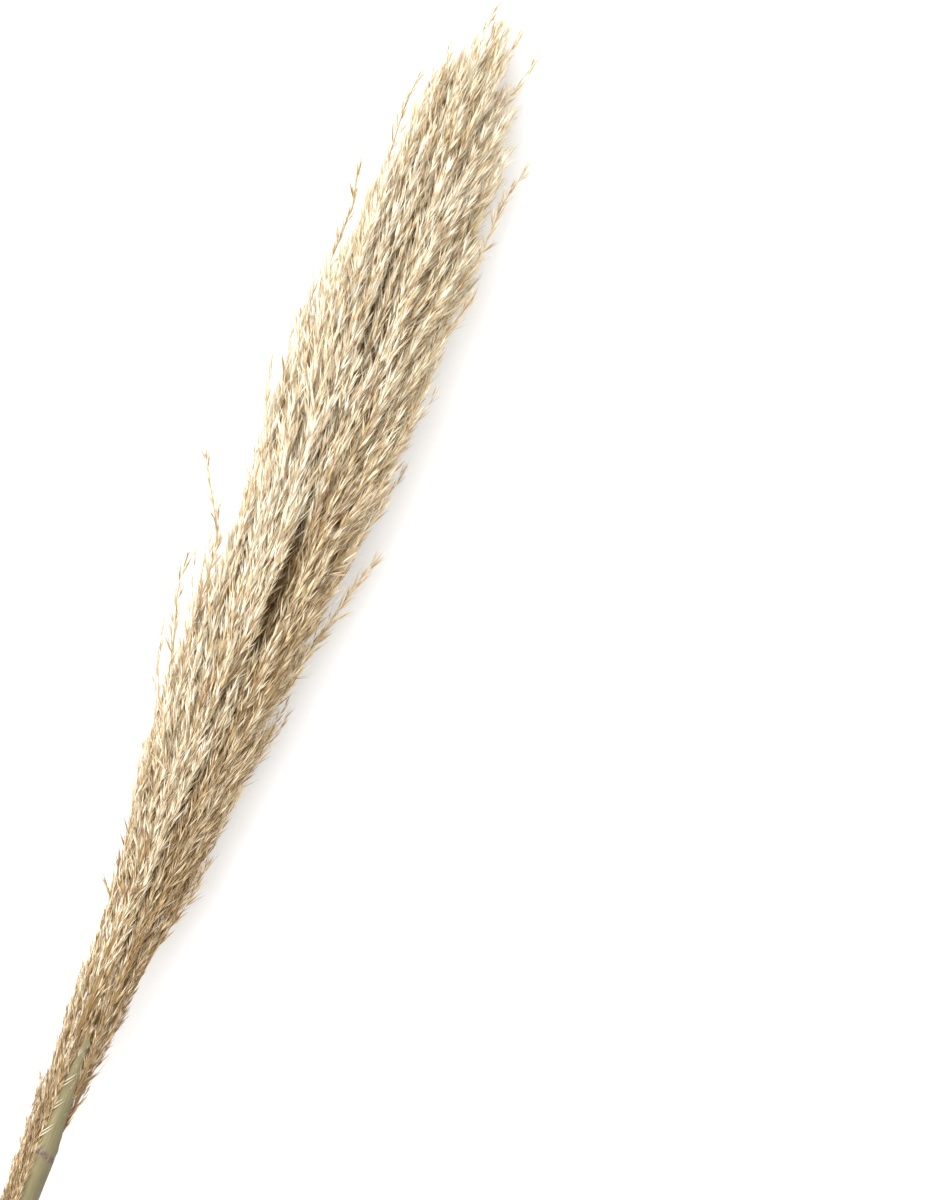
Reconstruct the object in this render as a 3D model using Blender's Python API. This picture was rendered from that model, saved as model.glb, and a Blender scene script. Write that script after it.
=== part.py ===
"""One dried giant reed: a jointed cane with its seed plume, lying at rest on a flat surface.

The reed lies along X with its tip at +X, +Z is up, and the surface it lies on is z = 0.
Distances along the reed are called u. They start at the collar, where the uppermost leaf
ends and the plume begins, and grow towards the tip, so the cane has negative u.
Round the reed, angles start at +Y, its left side, and turn through +Z, its upper side.
"""

import math
import random

import bmesh
import bpy
from mathutils import Vector

# Driving dimensions, in metres.
PLUME_LENGTH = 0.490
CANE_LENGTH = 0.660
CANE_RADIUS_COLLAR = 0.0050
CANE_RADIUS_BUTT = 0.0066
CANE_WALL = 0.0019
BORE_DEPTH = 0.013
NODE_PLACES = (-0.645, -0.384, -0.069)
NODE_SWELL = 0.0006
NODE_HALF_LENGTH = 0.004
RACHIS_END = 0.436
RACHIS_TIP_RADIUS = 0.0006
SHEATH_GAP = 0.0003
SHEATH_WALL = 0.00045
LOWER_SHEATH = (-0.640, -0.470)
LOWER_SHEATH_SLANT = 0.022
LOWER_SHEATH_LONGEST_AT = 0.6  # radians round the reed
FLAG_COLUMNS = 17
# The flag leaf: distances along it and half the angle, in degrees, that it spans there.
FLAG_ROWS = (
    (-0.064, 174), (-0.034, 174), (-0.022, 168), (-0.018, 146), (-0.013, 122), (-0.008, 100),
    (-0.003, 80), (0.006, 62), (0.018, 45), (0.030, 30), (0.040, 17), (0.050, 5),
)
PIECE_GAP = 0.0003

# How the reed lies: its slope, and how far the plume's end droops from the cane's line.
LIE_SLOPE = math.tan(math.radians(0.99))
DROOP = 0.015
DROOP_START = 0.150

# The plume's outline from above: half width at distances u along it, left and right of its axis.
LEFT_OUTLINE = (
    (-0.014, 0.0080), (0.030, 0.0118), (0.100, 0.0146), (0.150, 0.0190), (0.200, 0.0280),
    (0.238, 0.0308), (0.258, 0.0232), (0.290, 0.0224), (0.336, 0.0310), (0.368, 0.0310),
    (0.390, 0.0256), (0.430, 0.0258), (0.450, 0.0176), (0.470, 0.0098), (0.490, 0.0035),
)
RIGHT_OUTLINE = (
    (-0.014, 0.0070), (0.030, 0.0096), (0.100, 0.0140), (0.150, 0.0190), (0.200, 0.0228),
    (0.240, 0.0290), (0.262, 0.0262), (0.300, 0.0296), (0.340, 0.0272), (0.400, 0.0288),
    (0.418, 0.0210), (0.455, 0.0190), (0.472, 0.0142), (0.490, 0.0035),
)
HEIGHT_SHARE = 0.80  # the plume's half height over its half width

# The parting: a strip along the plume's upper side that its branches leave open.
PARTING_AT_COLLAR = math.radians(58)
PARTING_ABOVE = math.radians(4)
PARTING_CLOSES = 0.052
FURROW = ((0.130, 0.0), (0.190, 0.30), (0.350, 0.26), (0.410, 0.0))
FURROW_HALF_ANGLE = math.radians(15)

# How far the sectors, and the furrow between the upper two, wander round the reed.
WANDER = (
    (0.060, 0.0), (0.240, math.radians(13)), (0.370, math.radians(-8)), (0.490, math.radians(-14)),
)

# The branches: six sectors round the rachis, with eight branches up each of them.
SECTORS = 6
WHORLS = 8
FIRST_START = {0: -0.010, 1: 0.002, 2: 0.016, 3: 0.008, 4: 0.000, 5: -0.006}
LAST_START = 0.345
FIRST_END, LAST_END = 0.165, 0.470
END_JITTER = 0.013
STATION_STEP = 0.024
FIRST_STATION = -0.014
RING_GAP = 0.0011
SIDE_GAP = 0.0004
TIP_LIFT = 0.0030  # branches end a little outside their neighbours
LAST_RING_KEEPS = 0.74
SEED = 14

# Branches whose ends stand free of the plume: (sector, whorl): (end, reach past the outline).
FREE_ENDS = {
    (0, 1): (0.236, 0.0085),
    (0, 2): (0.277, 0.0175),
    (3, 2): (0.262, 0.0075),
    (0, 5): (0.408, 0.0060),
    (3, 5): (0.429, 0.0120),
    (0, 6): (0.452, 0.0090),
}

# Thin branches that leave the sheath's mouth below the collar: angle, start, end, end's reach.
LOW_BRANCHES = (
    (math.radians(-14), -0.062, 0.010, 0.0128),
    (math.radians(10), -0.056, 0.016, 0.0138),
    (math.radians(34), -0.048, 0.006, 0.0122),
)
LOW_BRANCH_RADIUS = 0.0007
LOW_BRANCH_SWELL = 0.0009
LOW_BRANCH_POINT = 0.006
LOW_BRANCH_RINGS = 8
LOW_BRANCH_SIDES = 6

ROUND_SIDES = 16
RACHIS_SIDES = 12
SHEATH_ROWS = 5
SECTOR_NAMES = ("left", "upper_left", "upper_right", "right", "lower_right", "lower_left")

MATERIALS = {
    "cane": ((0.78, 0.70, 0.46), 0.42),
    "rachis": ((0.70, 0.62, 0.40), 0.55),
    "leaf": ((0.66, 0.62, 0.38), 0.50),
    "branch": ((0.80, 0.66, 0.44), 0.80),
}


def between(table, place):
    """The value at a place in a table of (place, value) points, easing from point to point."""
    if place <= table[0][0]:
        return table[0][1]
    for (a, low), (b, high) in zip(table, table[1:]):
        if place <= b:
            t = (place - a) / (b - a)
            return low + (high - low) * t * t * (3 - 2 * t)
    return table[-1][1]


def cane_radius(u):
    share = max(0.0, min(1.0, (u + CANE_LENGTH) / CANE_LENGTH))
    swell = sum(
        NODE_SWELL * max(0.0, 1 - abs(u - node) / NODE_HALF_LENGTH) for node in NODE_PLACES
    )
    return CANE_RADIUS_BUTT + (CANE_RADIUS_COLLAR - CANE_RADIUS_BUTT) * share + swell


def rachis_radius(u):
    share = max(0.0, min(1.0, u / RACHIS_END))
    start = CANE_RADIUS_COLLAR - 0.0006
    return start + (RACHIS_TIP_RADIUS - start) * share**0.75


def axis_height(u):
    """Height of the reed's axis. The lower sheath's foot touches the surface."""
    foot = cane_radius(LOWER_SHEATH[0]) + SHEATH_GAP + SHEATH_WALL
    line = foot + LIE_SLOPE * (u - LOWER_SHEATH[0])
    drooping = max(0.0, u - DROOP_START) / (PLUME_LENGTH - DROOP_START)
    return line - DROOP * drooping**2


def at(u, angle, radius):
    """The point at that distance from the axis, in the plane across the reed at u."""
    return Vector((u, radius * math.cos(angle), axis_height(u) + radius * math.sin(angle)))


def outer_radius(u, angle):
    """The plume's outline round its section: an ellipse with a furrow above and flat below."""
    side = LEFT_OUTLINE if math.cos(angle) > 0 else RIGHT_OUTLINE
    half_width = between(side, u)
    mean = (between(LEFT_OUTLINE, u) + between(RIGHT_OUTLINE, u)) / 2
    half_height = HEIGHT_SHARE * mean
    radius = 1 / math.hypot(math.cos(angle) / half_width, math.sin(angle) / half_height)
    middle = math.pi / 2 + between(WANDER, u)
    from_top = math.remainder(angle - middle, 2 * math.pi) / FURROW_HALF_ANGLE
    radius *= 1 - between(FURROW, u) * math.exp(-from_top * from_top)
    if math.sin(angle) < 0:
        radius = min(radius, axis_height(u) / -math.sin(angle))
    return radius


def inner_radius(u):
    """The room left round the rachis, with the flag leaf's blade beside it near the collar."""
    blade = 0.0013 * max(0.0, min(1.0, (0.080 - u) / 0.025))
    return rachis_radius(max(u, 0.0)) + 0.0005 + blade


def blade_radius(u):
    """Radius of the blade's underside: between the rachis and the branches that cover it."""
    return inner_radius(u) - SHEATH_WALL - 0.0004


def parting(u):
    share = max(0.0, min(1.0, u / PARTING_CLOSES))
    return PARTING_AT_COLLAR + (PARTING_ABOVE - PARTING_AT_COLLAR) * share


def sector_limits(sector, u):
    """The two angles between which a sector's branches lie."""
    low = math.radians(60 * sector - 30) + between(WANDER, u)
    high = math.radians(60 * sector + 30) + between(WANDER, u)
    if sector == 1:
        high = max(low + 0.05, high - parting(u))
    if sector == 2:
        low = min(high - 0.05, low + parting(u))
    return low, high


def plan_branches():
    """(sector, whorl) to (start, end), with each end shifted a little by a seeded draw."""
    draw = random.Random(SEED)
    plan = {}
    for sector in range(SECTORS):
        first = FIRST_START[sector]
        for whorl in range(WHORLS):
            share = whorl / (WHORLS - 1)
            start = first + (LAST_START - first) * share
            end = FIRST_END + (LAST_END - FIRST_END) * share
            end += draw.uniform(-END_JITTER, END_JITTER)
            plan[sector, whorl] = (start, FREE_ENDS.get((sector, whorl), (end,))[0])
    plan[1, WHORLS - 1] = (plan[1, WHORLS - 1][0], PLUME_LENGTH)
    return plan


def fullness(span, u):
    """How much room a branch takes in its sector: none at its ends, most past its middle."""
    t = (u - span[0]) / (span[1] - span[0])
    return 0.0 if not 0 < t < 1 else math.sin(math.pi * t**0.85) ** 0.7


def layers(plan, sector, u):
    """Each branch of the sector with the shares of the section where it starts and ends.

    Branches stack outwards, the youngest inside, and together they fill the sector.
    """
    rooms = {w: fullness(plan[sector, w], u) for w in range(WHORLS)}
    total = sum(rooms.values())
    found, inside = {}, 0.0
    for whorl in reversed(range(WHORLS)):
        share = rooms[whorl] / total if total > 0 else 0.0
        found[whorl] = (inside, min(1.0, inside + share))
        inside += share
    return found


def layer_radius(u, angle, share):
    """Distance from the axis inside which that share of the section's area lies."""
    low, high = inner_radius(u), outer_radius(u, angle)
    return math.sqrt(low**2 + share * max(0.0, high**2 - low**2))


def free_shift(key, plan, u):
    """How far a free end stands out at u, and how thin it has become."""
    if key not in FREE_ENDS:
        return 0.0, 1.0
    end, reach = FREE_ENDS[key]
    sector, whorl = key
    leaves = max(plan[sector, whorl - 1][1], end - 0.060)
    t = max(0.0, min(1.0, (u - leaves) / (end - leaves)))
    return reach * t**1.6, 1 - 0.55 * t


def branch_ring(key, plan, u):
    """The eight corners of a branch's section at u, anticlockwise seen from the tip."""
    sector, whorl = key
    inside, outside = layers(plan, sector, u)[whorl]
    full = fullness(plan[key], u)
    low, high = sector_limits(sector, u)
    middle = (low + high) / 2
    half = (high - low) / 2 * (0.10 + 0.90 * math.sqrt(full))
    shift, keep = free_shift(key, plan, u)
    outer, inner = [], []
    for share in (-1, -0.36, 0.36, 1):
        angle = middle + half * share
        angle -= math.copysign(SIDE_GAP / layer_radius(u, angle, outside), share)
        r_out = layer_radius(u, angle, outside)
        r_in = layer_radius(u, angle, inside)
        r_in = min(r_in + RING_GAP, r_in + 0.6 * (r_out - r_in))
        outer.append(at(u, angle, r_out + shift))
        inner.append(at(u, angle, r_in + shift))
    return shrunk(outer + inner[::-1], keep)


def shrunk(ring, keep):
    """The ring drawn in towards its own middle."""
    centre = sum(ring, Vector()) / len(ring)
    return [centre + (point - centre) * keep for point in ring]


def boundary_point(key, plan, u, lift):
    """Where a branch that has shrunk to nothing lies between its neighbours."""
    sector, whorl = key
    inside, outside = layers(plan, sector, u)[whorl]
    low, high = sector_limits(sector, u)
    angle = (low + high) / 2
    shift = free_shift(key, plan, u)[0] + lift
    point = at(u, angle, layer_radius(u, angle, (inside + outside) / 2) + shift)
    point.z = max(point.z, 0.0)
    return point


def cone_point(key, plan, end, ring, ring_u, far_u):
    """A branch's pointed end, between its last ring and the next station."""
    middle = sum(ring, Vector()) / len(ring)
    lift = TIP_LIFT if far_u > ring_u else 0.0
    beyond = boundary_point(key, plan, far_u, lift)
    return middle.lerp(beyond, (end - ring_u) / (far_u - ring_u))


def branch_mesh(key, plan):
    """A lofted solid through the stations that the branch crosses, with pointed ends."""
    start, end = plan[key]
    count = round((PLUME_LENGTH - FIRST_STATION) / STATION_STEP) + 1
    stations = [FIRST_STATION + STATION_STEP * i for i in range(count)]
    crossed = [u for u in stations if start + 0.003 < u < end - 0.003]
    rings = [branch_ring(key, plan, u) for u in crossed]
    rings[-1] = shrunk(rings[-1], LAST_RING_KEEPS)
    first, last = crossed[0], crossed[-1]
    root = cone_point(key, plan, start, rings[0], first, first - STATION_STEP)
    tip = cone_point(key, plan, end, rings[-1], last, last + STATION_STEP)
    return loft(rings, root, tip)


def loft(rings, root=None, tip=None):
    """A closed mesh that bridges the rings, ending in points or in flat caps."""
    mesh = bmesh.new()
    loops = [edge_loop(mesh, ring) for ring in rings]
    for low, high in zip(loops, loops[1:]):
        bmesh.ops.bridge_loops(mesh, edges=low + high)
    for loop, point in ((loops[0], root), (loops[-1], tip)):
        cap = bmesh.ops.contextual_create(mesh, geom=loop)["faces"]
        if point is not None:
            bmesh.ops.poke(mesh, faces=cap)["verts"][0].co = point
    return cleaned(mesh)


def edge_loop(mesh, ring):
    """A closed loop of edges through a ring of points."""
    corners = [mesh.verts.new(point) for point in ring]
    return [mesh.edges.new(pair) for pair in zip(corners, corners[1:] + corners[:1])]


def cleaned(mesh):
    bmesh.ops.recalc_face_normals(mesh, faces=mesh.faces)
    bmesh.ops.triangulate(mesh, faces=mesh.faces)
    return mesh


def circle(u, radius, sides=ROUND_SIDES, centre=(0.0, 0.0)):
    """A ring of points round the axis at u, or round a centre off the axis."""
    turn = 2 * math.pi / sides
    return [
        at(u, turn * i, radius) + Vector((0, centre[0], centre[1])) for i in range(sides)
    ]


def finish_object(name, mesh, material):
    data = bpy.data.meshes.new(name)
    mesh.to_mesh(data)
    mesh.free()
    data.materials.append(material)
    data.shade_smooth()
    data.set_sharp_from_angle(angle=math.radians(40))
    obj = bpy.data.objects.new(name, data)
    bpy.context.scene.collection.objects.link(obj)
    return obj


def make_material(name):
    colour, roughness = MATERIALS[name]
    material = bpy.data.materials.new(name)
    material.use_nodes = True
    shader = material.node_tree.nodes["Principled BSDF"]
    shader.inputs["Base Color"].default_value = (*colour, 1)
    shader.inputs["Roughness"].default_value = roughness
    shader.inputs["Metallic"].default_value = 0.0
    return material


def make_cane(material):
    """The cane: swollen at its nodes, and bored from the cut butt to its first diaphragm."""
    places = [-CANE_LENGTH, -0.560, -0.470, -0.300, -0.200, -0.130, -0.030, -PIECE_GAP]
    for node in NODE_PLACES:
        places += [node - NODE_HALF_LENGTH, node, node + NODE_HALF_LENGTH]
    rings = [circle(u, cane_radius(u)) for u in sorted(places)]
    mesh = loft(rings)
    butt = [face for face in mesh.faces if all(v.co.x < -CANE_LENGTH + 1e-6 for v in face.verts)]
    bmesh.ops.dissolve_faces(mesh, faces=butt)
    mouth = min(mesh.faces, key=lambda face: face.calc_center_median().x)
    bmesh.ops.inset_region(mesh, faces=[mouth], thickness=CANE_WALL)
    bmesh.ops.translate(mesh, verts=extruded(mesh, mouth), vec=(BORE_DEPTH, 0, 0))
    return finish_object("cane", cleaned(mesh), material)


def extruded(mesh, face):
    """Extrudes a face and returns the corners of the new end face."""
    found = bmesh.ops.extrude_discrete_faces(mesh, faces=[face])["faces"]
    return list(found[0].verts)


def make_rachis(material):
    """The plume's main stem, which carries the branches."""
    places = [0.0, 0.040, 0.090, 0.150, 0.210, 0.270, 0.330, 0.390, RACHIS_END]
    rings = [circle(u, rachis_radius(u), RACHIS_SIDES) for u in places]
    return finish_object("rachis", loft(rings), material)


def make_lower_sheath(material):
    """The old leaf sheath that wraps the cane's foot: an open tube with a slanting mouth."""
    start, end = LOWER_SHEATH
    mesh = bmesh.new()
    rows = []
    for row in range(SHEATH_ROWS):
        ring = []
        for i in range(ROUND_SIDES):
            angle = 2 * math.pi * i / ROUND_SIDES
            turned = math.cos(angle - LOWER_SHEATH_LONGEST_AT)
            mouth = end - LOWER_SHEATH_SLANT * (1 - turned) / 2
            u = start + (mouth - start) * row / (SHEATH_ROWS - 1)
            ring.append(at(u, angle, cane_radius(u) + SHEATH_GAP))
        rows.append(edge_loop(mesh, ring))
    for low, high in zip(rows, rows[1:]):
        bmesh.ops.bridge_loops(mesh, edges=low + high)
    return finish_object("lower_leaf_sheath", thickened(mesh), material)


def thickened(mesh):
    """The open skin made into a leaf's wall, by adding thickness on its outer side."""
    bmesh.ops.recalc_face_normals(mesh, faces=mesh.faces)
    outward = sum(face.normal.dot(face.calc_center_median() - on_axis(face)) for face in mesh.faces)
    if outward > 0:
        bmesh.ops.reverse_faces(mesh, faces=mesh.faces)
    bmesh.ops.solidify(mesh, geom=mesh.faces, thickness=SHEATH_WALL)
    return cleaned(mesh)


def on_axis(face):
    u = face.calc_center_median().x
    return Vector((u, 0, axis_height(u)))


def make_flag_leaf(material):
    """The uppermost leaf: a sheath round the cane, slit below, and its trimmed, pointed blade.

    One skin of points runs up the leaf. Each row spans an angle round the upper side, which
    is nearly a full turn on the sheath and narrows to the blade's point.
    """
    mesh = bmesh.new()
    rows = []
    for u, half in FLAG_ROWS:
        radius = cane_radius(u) + SHEATH_GAP if u < 0 else blade_radius(u)
        turns = [math.radians(half) * (2 * i / (FLAG_COLUMNS - 1) - 1) for i in range(FLAG_COLUMNS)]
        corners = [mesh.verts.new(at(u, math.pi / 2 + turn, radius)) for turn in turns]
        rows.append([mesh.edges.new(pair) for pair in zip(corners, corners[1:])])
    for low, high in zip(rows, rows[1:]):
        bmesh.ops.bridge_loops(mesh, edges=low + high)
    return finish_object("flag_leaf", thickened(mesh), material)


def make_low_branch(number, material):
    """A thin branch that lies along the sheath and stands out beside the plume's base."""
    angle, start, end, reach = LOW_BRANCHES[number]
    lies = cane_radius(start) + SHEATH_GAP + SHEATH_WALL + PIECE_GAP + LOW_BRANCH_RADIUS
    rings = []
    for step in range(LOW_BRANCH_RINGS):
        t = step / (LOW_BRANCH_RINGS - 1)
        u = start + (end - start) * t
        out = lies + (reach - lies) * t**1.8
        radius = LOW_BRANCH_RADIUS + LOW_BRANCH_SWELL * t * math.sin(math.pi * t)
        centre = (out * math.cos(angle), out * math.sin(angle))
        rings.append(circle(u, radius, LOW_BRANCH_SIDES, centre))
    tip = sum(rings[-1], Vector()) / LOW_BRANCH_SIDES + Vector((LOW_BRANCH_POINT, 0, 0))
    return finish_object(f"low_branch_{number + 1}", loft(rings, tip=tip), material)


def make_branches(material):
    plan = plan_branches()
    made = []
    for sector, whorl in plan:
        name = f"{SECTOR_NAMES[sector]}_branch_{whorl + 1}"
        made.append(finish_object(name, branch_mesh((sector, whorl), plan), material))
    return made


def centre_on_origin(objects):
    """Moves the reed so that the origin is under the middle of its box."""
    points = [vertex.co for obj in objects for vertex in obj.data.vertices]
    low = Vector([min(point[axis] for point in points) for axis in range(3)])
    high = Vector([max(point[axis] for point in points) for axis in range(3)])
    shift = Vector(((low.x + high.x) / 2, (low.y + high.y) / 2, low.z))
    for obj in objects:
        obj.location = -shift


def main():
    for obj in list(bpy.data.objects):
        bpy.data.objects.remove(obj)
    cane, rachis, leaf, branch = (make_material(name) for name in MATERIALS)
    objects = [
        make_cane(cane),
        make_rachis(rachis),
        make_lower_sheath(leaf),
        make_flag_leaf(leaf),
        *(make_low_branch(number, branch) for number in range(len(LOW_BRANCHES))),
        *make_branches(branch),
    ]
    centre_on_origin(objects)


main()
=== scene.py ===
"""Looks of a dried giant reed: a smooth jointed cane, leaf sheaths, and a plume of spikelets.

Distances u along the reed start at the collar, where the cane ends, and grow to the tip.
Angles round the reed start at +Y, its left side, and turn through +Z, its upper side.
"""
import math

import bmesh
import bpy
import numpy as np
from mathutils import Matrix, Vector
from mathutils.bvhtree import BVHTree


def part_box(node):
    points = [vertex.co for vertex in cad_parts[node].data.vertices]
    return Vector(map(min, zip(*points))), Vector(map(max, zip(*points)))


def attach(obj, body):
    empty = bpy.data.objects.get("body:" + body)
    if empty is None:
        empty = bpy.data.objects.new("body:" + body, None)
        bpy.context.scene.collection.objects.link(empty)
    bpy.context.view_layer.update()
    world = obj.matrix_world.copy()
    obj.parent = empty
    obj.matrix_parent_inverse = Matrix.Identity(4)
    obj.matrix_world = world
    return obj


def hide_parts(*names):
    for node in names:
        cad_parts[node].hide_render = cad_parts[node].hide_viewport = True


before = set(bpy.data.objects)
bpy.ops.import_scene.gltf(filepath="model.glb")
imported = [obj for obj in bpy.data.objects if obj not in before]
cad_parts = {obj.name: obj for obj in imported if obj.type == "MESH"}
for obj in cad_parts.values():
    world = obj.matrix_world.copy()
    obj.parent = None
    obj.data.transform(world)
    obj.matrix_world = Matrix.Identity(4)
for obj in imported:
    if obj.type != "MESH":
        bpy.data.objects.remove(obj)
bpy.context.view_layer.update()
rng = np.random.default_rng(7)

MM = 0.001
FULL_TURN = 2 * math.pi
UV_MAP = "OFBake"
LOW_BRANCHES = [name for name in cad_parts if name.startswith("low_branch")]
BRANCHES = [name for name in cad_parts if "branch" in name and name not in LOW_BRANCHES]
FREE_ENDS = {"left_branch_2", "left_branch_3", "left_branch_6", "left_branch_7",
             "right_branch_3", "right_branch_6"}
FREE = [number for number, name in enumerate(BRANCHES) if name in FREE_ENDS]
FREE_LENGTH = 0.062  # of each free end, which stands out of the plume

# ---------------- the CAD model's shape


def read(table, at):
    """A table's value at a place, on straight lines between its pairs of place and value."""
    return np.interp(at, *zip(*table))


def node_points(name):
    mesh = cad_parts[name].data
    points = np.empty(len(mesh.vertices) * 3)
    mesh.vertices.foreach_get("co", points)
    return points.reshape(-1, 3)


def ring_means(name):
    """The middles of a node's sections, from the vertices that share a place along the reed."""
    points = node_points(name)
    places = np.round(points[:, 0], 4)
    means = []
    for x in np.unique(places):
        ring = np.unique(points[places == x].round(6), axis=0)
        means.append([x, *ring[:, 1:].mean(axis=0)])
    return np.array(means)


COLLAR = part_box("cane")[1][0]
TIP = max(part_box(name)[1][0] for name in BRANCHES)
PLUME = TIP - COLLAR
spine = np.concatenate([ring_means("cane"), ring_means("rachis")[1:]])
END_DROP = 0.0066  # the plume's tip droops this far below its main stalk's end
spine = np.vstack([spine, [TIP, spine[-1, 1], spine[-1, 2] - END_DROP]])


def axis_y(u):
    return np.interp(COLLAR + u, spine[:, 0], spine[:, 1])


def axis_z(u):
    return np.interp(COLLAR + u, spine[:, 0], spine[:, 2])


def place(u, angle, radius):
    """World points at distances u along the reed, at angles and distances round its axis."""
    u, angle, radius = np.broadcast_arrays(u, angle, radius)
    y = axis_y(u) + radius * np.cos(angle)
    z = axis_z(u) + radius * np.sin(angle)
    return np.stack([COLLAR + u, y, z], axis=-1)


def branch_tree():
    """One search tree over all branches, and the branch that each of its faces belongs to."""
    points, faces, owner = [], [], []
    for number, name in enumerate(BRANCHES):
        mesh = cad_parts[name].data
        base = len(points)
        points += [tuple(vertex.co) for vertex in mesh.vertices]
        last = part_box(name)[1][0] - (FREE_LENGTH if name in FREE_ENDS else 0)
        for polygon in mesh.polygons:
            if polygon.center.x < last:
                faces.append(tuple(base + i for i in polygon.vertices))
                owner.append(number)
    return BVHTree.FromPolygons(points, faces), owner


tree, face_owner = branch_tree()
OUTLINE_STEP = 0.004
OUTLINE_U = np.arange(-0.012, PLUME + 0.001, OUTLINE_STEP)
OUTLINE_ANGLES = 72
FAR = 0.08  # rays start here, clear of the plume
THINNEST = 0.003  # the radius where a ray meets no branch


def measure_outline():
    """The plume's radius, and the branch seen there, by distance along it and angle round it."""
    radius = np.zeros((len(OUTLINE_U), OUTLINE_ANGLES))
    seen = np.zeros((len(OUTLINE_U), OUTLINE_ANGLES), int)
    for i, u in enumerate(OUTLINE_U):
        centre = Vector(place(u, 0.0, 0.0))
        for j in range(OUTLINE_ANGLES):
            angle = FULL_TURN * j / OUTLINE_ANGLES
            out = Vector((0, math.cos(angle), math.sin(angle)))
            hit, _, face, distance = tree.ray_cast(centre + out * FAR, -out, FAR)
            if hit is None:
                face = tree.find_nearest(centre)[2]
                distance = FAR - THINNEST
            radius[i, j] = FAR - distance
            seen[i, j] = face_owner[face]
    return radius, seen


outline, outline_owner = measure_outline()


def smooth_outline(table):
    """The outline evened out over its neighbours, so that no facet shows."""
    even = table.copy()
    for _ in range(2):
        even = (np.roll(even, 1, 1) + 2 * even + np.roll(even, -1, 1)) / 4
        padded = np.vstack([even[:1], even, even[-1:]])
        even = (padded[:-2] + 2 * padded[1:-1] + padded[2:]) / 4
    return even


COLUMNS_ROUND, ROWS_BACK, ROWS_AHEAD = 3, 7, 2  # how far a branch's radius spreads
TIP_FROM = 0.375  # before this it spreads only one row back
TIP_CLOSES, FOOT_BACK, FOOT_OPENS = 0.046, 0.020, 0.060


def widened_outline(table):
    """The outline without the branches' tapers and gaps, which spikelets fill."""
    wide = table.copy()
    for turn in range(1, COLUMNS_ROUND + 1):
        wide = np.maximum(wide, np.maximum(np.roll(table, turn, 1), np.roll(table, -turn, 1)))
    table = wide.copy()
    near_tip = (OUTLINE_U > TIP_FROM)[:, None]
    for back in range(1, ROWS_BACK + 1):
        farther = np.maximum(wide[back:], table[:-back])
        wide[back:] = np.where(near_tip[back:] | (back < 2), farther, wide[back:])
    for ahead in range(1, ROWS_AHEAD + 1):
        wide[:-ahead] = np.maximum(wide[:-ahead], table[ahead:])
    closing = np.clip((PLUME - OUTLINE_U) / TIP_CLOSES, 0.02, 1) ** 0.55
    opening = np.clip((OUTLINE_U + FOOT_BACK) / FOOT_OPENS, 0, 1)
    return (table + (wide - table) * opening[:, None]) * closing[:, None]


outline = smooth_outline(widened_outline(smooth_outline(outline)))


def outline_radius(u, angle):
    """The plume's radius at any place, read between the measured ones."""
    u, angle = np.broadcast_arrays(np.asarray(u, float), np.asarray(angle, float))
    row = np.clip((u - OUTLINE_U[0]) / OUTLINE_STEP, 0, len(OUTLINE_U) - 1.001)
    column = (angle / FULL_TURN % 1) * OUTLINE_ANGLES
    i, j = row.astype(int), column.astype(int) % OUTLINE_ANGLES
    a, b = row - i, column - column.astype(int)
    k = (j + 1) % OUTLINE_ANGLES
    low = outline[i, j] * (1 - b) + outline[i, k] * b
    high = outline[i + 1, j] * (1 - b) + outline[i + 1, k] * b
    return low * (1 - a) + high * a


def outline_branch(u, angle):
    """The number of the branch seen at a place on the outline."""
    row = int(np.clip(np.round((u - OUTLINE_U[0]) / OUTLINE_STEP), 0, len(OUTLINE_U) - 1))
    column = int(np.round(angle / FULL_TURN * OUTLINE_ANGLES)) % OUTLINE_ANGLES
    return int(outline_owner[row, column])


# ---------------- spikelets, stalks and hairs

BANDS = 24  # strips of the colour map: 20 bract tints, hairs, two stalks, one spare
BRACT_TINTS = 20
HAIR_BAND, STALK_BAND, DARK_STALK_BAND = 20, 21, 22
UPWARD = (0.1, 0.2, 0.97)  # nearly straight up, and never along a strand


def unit(v):
    return v / np.maximum(np.linalg.norm(v, axis=-1, keepdims=True), 1e-12)


def across(d, hint):
    """Unit vectors at right angles to d that lean towards the hint."""
    flat = hint - (hint * d).sum(-1, keepdims=True) * d
    return unit(flat)


def linked(name, data):
    """A new object of the scene."""
    thing = bpy.data.objects.new(name, data)
    bpy.context.scene.collection.objects.link(thing)
    return thing


class Heap:
    """Collects small closed solids, all of one corner pattern at a time, into one mesh."""

    def __init__(self):
        self.points, self.faces, self.maps, self.count = [], [], [], 0

    def add(self, points, pattern, maps):
        """points (n, corners, 3); pattern (faces, 3); maps (n, corners, 2)."""
        n, corners = points.shape[:2]
        if n == 0:
            return
        pattern = np.asarray(pattern)
        faces = pattern[None] + (np.arange(n) * corners)[:, None, None] + self.count
        self.points.append(points.reshape(-1, 3))
        self.maps.append(maps.reshape(-1, 2))
        self.faces.append(faces.reshape(-1, 3))
        self.count += n * corners

    def piece(self, name, material):
        points = np.concatenate(self.points)
        points[:, 2] = lifted(points[:, 2])
        faces = np.concatenate(self.faces)
        maps = np.concatenate(self.maps)
        mesh = bpy.data.meshes.new(name)
        mesh.vertices.add(len(points))
        mesh.vertices.foreach_set("co", points.astype(np.float32).ravel())
        mesh.loops.add(faces.size)
        mesh.loops.foreach_set("vertex_index", faces.astype(np.int32).ravel())
        mesh.polygons.add(len(faces))
        mesh.polygons.foreach_set("loop_start", np.arange(0, faces.size, 3, dtype=np.int32))
        layer = mesh.uv_layers.new(name=UV_MAP)
        layer.data.foreach_set("uv", maps[faces.ravel()].astype(np.float32).ravel())
        mesh.update(calc_edges=True)
        mesh.shade_flat()
        mesh.materials.append(material)
        return linked(name, mesh)


FLOOR_GIVE = 0.0022  # strands lower than this lie pressed together


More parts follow.
